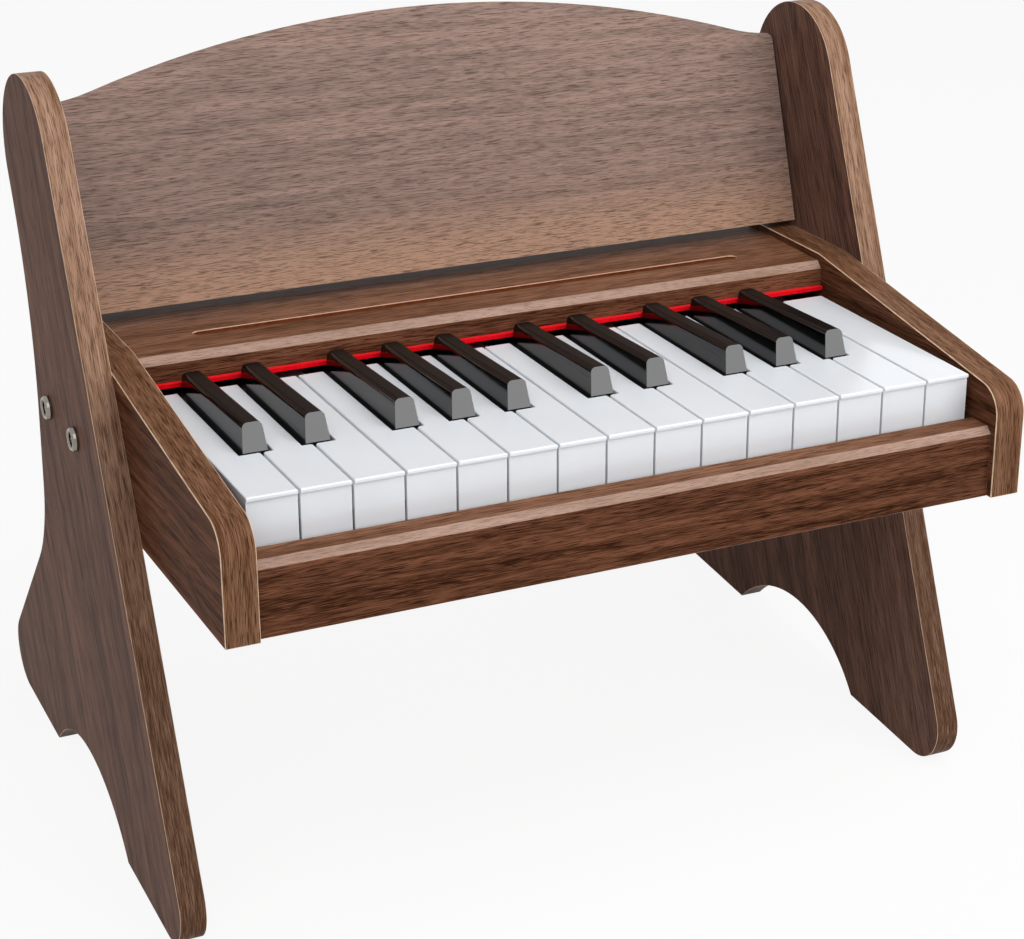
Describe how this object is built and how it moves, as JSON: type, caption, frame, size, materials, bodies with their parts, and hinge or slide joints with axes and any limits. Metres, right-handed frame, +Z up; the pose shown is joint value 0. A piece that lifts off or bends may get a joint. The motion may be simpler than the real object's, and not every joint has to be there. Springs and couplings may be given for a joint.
{
  "type": "toy piano",
  "caption": "Child's wooden table-top piano: hinged white and black keys in a tilted case between two leaning arched leg boards, with a crowned back panel that holds a music book.",
  "frame": {"origin": "on the floor, at the middle of the footprint", "axes": "+X to the player's right, +Y away from the player, +Z up"},
  "size_m": [0.4102, 0.307, 0.3483],
  "materials": {
    "walnut_leg": "satin dark walnut foil on board",
    "walnut_panel": "satin greyish walnut foil on board",
    "walnut_case": "satin dark walnut foil on board",
    "hardboard": "plain brown hardboard",
    "beech": "fluted wooden dowels, unfinished",
    "white_plastic": "glossy moulded white",
    "black_plastic": "glossy moulded black",
    "frame_plastic": "matt black moulding",
    "switch_plastic": "matt pale moulding",
    "steel": "plain steel",
    "nickel": "nickel-plated steel",
    "brass": "turned brass",
    "ferrite": "sintered ferrite",
    "circuit_board": "green solder mask",
    "silicone_rubber": "translucent grey silicone",
    "grey_felt": "wool felt",
    "red_felt": "bright red wool felt",
    "speaker_paper": "coated paper",
    "cell_jacket": "plain dark jacket"
  },
  "bodies": {
    "case": {"back_panel": "walnut_panel", "battery_box": "frame_plastic", "battery_cells": "cell_jacket", "battery_contacts": "nickel", "battery_door": "frame_plastic", "board_posts": "frame_plastic", "bottom_board": "hardboard", "bottom_screws": "nickel", "case_dowels": "beech", "contact_board": "circuit_board", "key_down_felt": "grey_felt", "key_frame": "frame_plastic", "key_rest_felt": "grey_felt", "key_slip": "walnut_case", "left_cheek": "walnut_case", "left_leg_panel": "walnut_leg", "leg_bolts": "nickel", "main_board": "circuit_board", "panel_dowels": "beech", "pivot_rod": "steel", "rear_board": "walnut_case", "red_felt_strip": "red_felt", "right_cheek": "walnut_case", "right_leg_panel": "walnut_leg", "rubber_contact_strip": "silicone_rubber", "speaker_basket": "steel", "speaker_cone": "speaker_paper", "speaker_magnet": "ferrite", "switch_housing": "frame_plastic", "threaded_inserts": "brass", "top_board": "walnut_case"},
    "white_key_01": {"white_key_01": "white_plastic"},
    "black_key_01": {"black_key_01": "black_plastic"},
    "white_key_02": {"white_key_02": "white_plastic"},
    "black_key_02": {"black_key_02": "black_plastic"},
    "white_key_03": {"white_key_03": "white_plastic"},
    "white_key_04": {"white_key_04": "white_plastic"},
    "black_key_03": {"black_key_03": "black_plastic"},
    "white_key_05": {"white_key_05": "white_plastic"},
    "black_key_04": {"black_key_04": "black_plastic"},
    "white_key_06": {"white_key_06": "white_plastic"},
    "black_key_05": {"black_key_05": "black_plastic"},
    "white_key_07": {"white_key_07": "white_plastic"},
    "white_key_08": {"white_key_08": "white_plastic"},
    "black_key_06": {"black_key_06": "black_plastic"},
    "white_key_09": {"white_key_09": "white_plastic"},
    "black_key_07": {"black_key_07": "black_plastic"},
    "white_key_10": {"white_key_10": "white_plastic"},
    "white_key_11": {"white_key_11": "white_plastic"},
    "black_key_08": {"black_key_08": "black_plastic"},
    "white_key_12": {"white_key_12": "white_plastic"},
    "black_key_09": {"black_key_09": "black_plastic"},
    "white_key_13": {"white_key_13": "white_plastic"},
    "black_key_10": {"black_key_10": "black_plastic"},
    "white_key_14": {"white_key_14": "white_plastic"},
    "white_key_15": {"white_key_15": "white_plastic"},
    "switch_knob": {"switch_knob": "switch_plastic"}
  },
  "joints": [
    {"name": "white_key_01_hinge", "type": "hinge", "parent": "case", "child": "white_key_01", "pos_m": [-0.1656, 0.04758, 0.19788], "axis": [1, 0, 0], "range_deg": [0, 3.2], "stiffness_Nm_per_rad": 0.4, "springref_deg": -6.88, "deforming": ["rubber_contact_strip"]},
    {"name": "black_key_01_hinge", "type": "hinge", "parent": "case", "child": "black_key_01", "pos_m": [-0.1518, 0.04758, 0.19788], "axis": [1, 0, 0], "range_deg": [0, 3.2], "stiffness_Nm_per_rad": 0.4, "springref_deg": -6.88, "deforming": ["rubber_contact_strip"]},
    {"name": "white_key_02_hinge", "type": "hinge", "parent": "case", "child": "white_key_02", "pos_m": [-0.138, 0.04758, 0.19788], "axis": [1, 0, 0], "range_deg": [0, 3.2], "stiffness_Nm_per_rad": 0.4, "springref_deg": -6.88, "deforming": ["rubber_contact_strip"]},
    {"name": "black_key_02_hinge", "type": "hinge", "parent": "case", "child": "black_key_02", "pos_m": [-0.1242, 0.04758, 0.19788], "axis": [1, 0, 0], "range_deg": [0, 3.2], "stiffness_Nm_per_rad": 0.4, "springref_deg": -6.88, "deforming": ["rubber_contact_strip"]},
    {"name": "white_key_03_hinge", "type": "hinge", "parent": "case", "child": "white_key_03", "pos_m": [-0.1104, 0.04758, 0.19788], "axis": [1, 0, 0], "range_deg": [0, 3.2], "stiffness_Nm_per_rad": 0.4, "springref_deg": -6.88, "deforming": ["rubber_contact_strip"]},
    {"name": "white_key_04_hinge", "type": "hinge", "parent": "case", "child": "white_key_04", "pos_m": [-0.09693, 0.04758, 0.19788], "axis": [1, 0, 0], "range_deg": [0, 3.2], "stiffness_Nm_per_rad": 0.4, "springref_deg": -6.88, "deforming": ["rubber_contact_strip"]},
    {"name": "black_key_03_hinge", "type": "hinge", "parent": "case", "child": "black_key_03", "pos_m": [-0.08379, 0.04758, 0.19788], "axis": [1, 0, 0], "range_deg": [0, 3.2], "stiffness_Nm_per_rad": 0.4, "springref_deg": -6.88, "deforming": ["rubber_contact_strip"]},
    {"name": "white_key_05_hinge", "type": "hinge", "parent": "case", "child": "white_key_05", "pos_m": [-0.07064, 0.04758, 0.19788], "axis": [1, 0, 0], "range_deg": [0, 3.2], "stiffness_Nm_per_rad": 0.4, "springref_deg": -6.88, "deforming": ["rubber_contact_strip"]},
    {"name": "black_key_04_hinge", "type": "hinge", "parent": "case", "child": "black_key_04", "pos_m": [-0.0575, 0.04758, 0.19788], "axis": [1, 0, 0], "range_deg": [0, 3.2], "stiffness_Nm_per_rad": 0.4, "springref_deg": -6.88, "deforming": ["rubber_contact_strip"]},
    {"name": "white_key_06_hinge", "type": "hinge", "parent": "case", "child": "white_key_06", "pos_m": [-0.04436, 0.04758, 0.19788], "axis": [1, 0, 0], "range_deg": [0, 3.2], "stiffness_Nm_per_rad": 0.4, "springref_deg": -6.88, "deforming": ["rubber_contact_strip"]},
    {"name": "black_key_05_hinge", "type": "hinge", "parent": "case", "child": "black_key_05", "pos_m": [-0.03121, 0.04758, 0.19788], "axis": [1, 0, 0], "range_deg": [0, 3.2], "stiffness_Nm_per_rad": 0.4, "springref_deg": -6.88, "deforming": ["rubber_contact_strip"]},
    {"name": "white_key_07_hinge", "type": "hinge", "parent": "case", "child": "white_key_07", "pos_m": [-0.01807, 0.04758, 0.19788], "axis": [1, 0, 0], "range_deg": [0, 3.2], "stiffness_Nm_per_rad": 0.4, "springref_deg": -6.88, "deforming": ["rubber_contact_strip"]},
    {"name": "white_key_08_hinge", "type": "hinge", "parent": "case", "child": "white_key_08", "pos_m": [-0.0046, 0.04758, 0.19788], "axis": [1, 0, 0], "range_deg": [0, 3.2], "stiffness_Nm_per_rad": 0.4, "springref_deg": -6.88, "deforming": ["rubber_contact_strip"]},
    {"name": "black_key_06_hinge", "type": "hinge", "parent": "case", "child": "black_key_06", "pos_m": [0.0092, 0.04758, 0.19788], "axis": [1, 0, 0], "range_deg": [0, 3.2], "stiffness_Nm_per_rad": 0.4, "springref_deg": -6.88, "deforming": ["rubber_contact_strip"]},
    {"name": "white_key_09_hinge", "type": "hinge", "parent": "case", "child": "white_key_09", "pos_m": [0.023, 0.04758, 0.19788], "axis": [1, 0, 0], "range_deg": [0, 3.2], "stiffness_Nm_per_rad": 0.4, "springref_deg": -6.88, "deforming": ["rubber_contact_strip"]},
    {"name": "black_key_07_hinge", "type": "hinge", "parent": "case", "child": "black_key_07", "pos_m": [0.0368, 0.04758, 0.19788], "axis": [1, 0, 0], "range_deg": [0, 3.2], "stiffness_Nm_per_rad": 0.4, "springref_deg": -6.88, "deforming": ["rubber_contact_strip"]},
    {"name": "white_key_10_hinge", "type": "hinge", "parent": "case", "child": "white_key_10", "pos_m": [0.0506, 0.04758, 0.19788], "axis": [1, 0, 0], "range_deg": [0, 3.2], "stiffness_Nm_per_rad": 0.4, "springref_deg": -6.88, "deforming": ["rubber_contact_strip"]},
    {"name": "white_key_11_hinge", "type": "hinge", "parent": "case", "child": "white_key_11", "pos_m": [0.06407, 0.04758, 0.19788], "axis": [1, 0, 0], "range_deg": [0, 3.2], "stiffness_Nm_per_rad": 0.4, "springref_deg": -6.88, "deforming": ["rubber_contact_strip"]},
    {"name": "black_key_08_hinge", "type": "hinge", "parent": "case", "child": "black_key_08", "pos_m": [0.07721, 0.04758, 0.19788], "axis": [1, 0, 0], "range_deg": [0, 3.2], "stiffness_Nm_per_rad": 0.4, "springref_deg": -6.88, "deforming": ["rubber_contact_strip"]},
    {"name": "white_key_12_hinge", "type": "hinge", "parent": "case", "child": "white_key_12", "pos_m": [0.09036, 0.04758, 0.19788], "axis": [1, 0, 0], "range_deg": [0, 3.2], "stiffness_Nm_per_rad": 0.4, "springref_deg": -6.88, "deforming": ["rubber_contact_strip"]},
    {"name": "black_key_09_hinge", "type": "hinge", "parent": "case", "child": "black_key_09", "pos_m": [0.1035, 0.04758, 0.19788], "axis": [1, 0, 0], "range_deg": [0, 3.2], "stiffness_Nm_per_rad": 0.4, "springref_deg": -6.88, "deforming": ["rubber_contact_strip"]},
    {"name": "white_key_13_hinge", "type": "hinge", "parent": "case", "child": "white_key_13", "pos_m": [0.11664, 0.04758, 0.19788], "axis": [1, 0, 0], "range_deg": [0, 3.2], "stiffness_Nm_per_rad": 0.4, "springref_deg": -6.88, "deforming": ["rubber_contact_strip"]},
    {"name": "black_key_10_hinge", "type": "hinge", "parent": "case", "child": "black_key_10", "pos_m": [0.12979, 0.04758, 0.19788], "axis": [1, 0, 0], "range_deg": [0, 3.2], "stiffness_Nm_per_rad": 0.4, "springref_deg": -6.88, "deforming": ["rubber_contact_strip"]},
    {"name": "white_key_14_hinge", "type": "hinge", "parent": "case", "child": "white_key_14", "pos_m": [0.14293, 0.04758, 0.19788], "axis": [1, 0, 0], "range_deg": [0, 3.2], "stiffness_Nm_per_rad": 0.4, "springref_deg": -6.88, "deforming": ["rubber_contact_strip"]},
    {"name": "white_key_15_hinge", "type": "hinge", "parent": "case", "child": "white_key_15", "pos_m": [0.161, 0.04758, 0.19788], "axis": [1, 0, 0], "range_deg": [0, 3.2], "stiffness_Nm_per_rad": 0.4, "springref_deg": -6.88, "deforming": ["rubber_contact_strip"]},
    {"name": "switch_slide", "type": "slide", "parent": "case", "child": "switch_knob", "axis": [1, 0, 0], "range_m": [0, 0.008]}
  ]
}
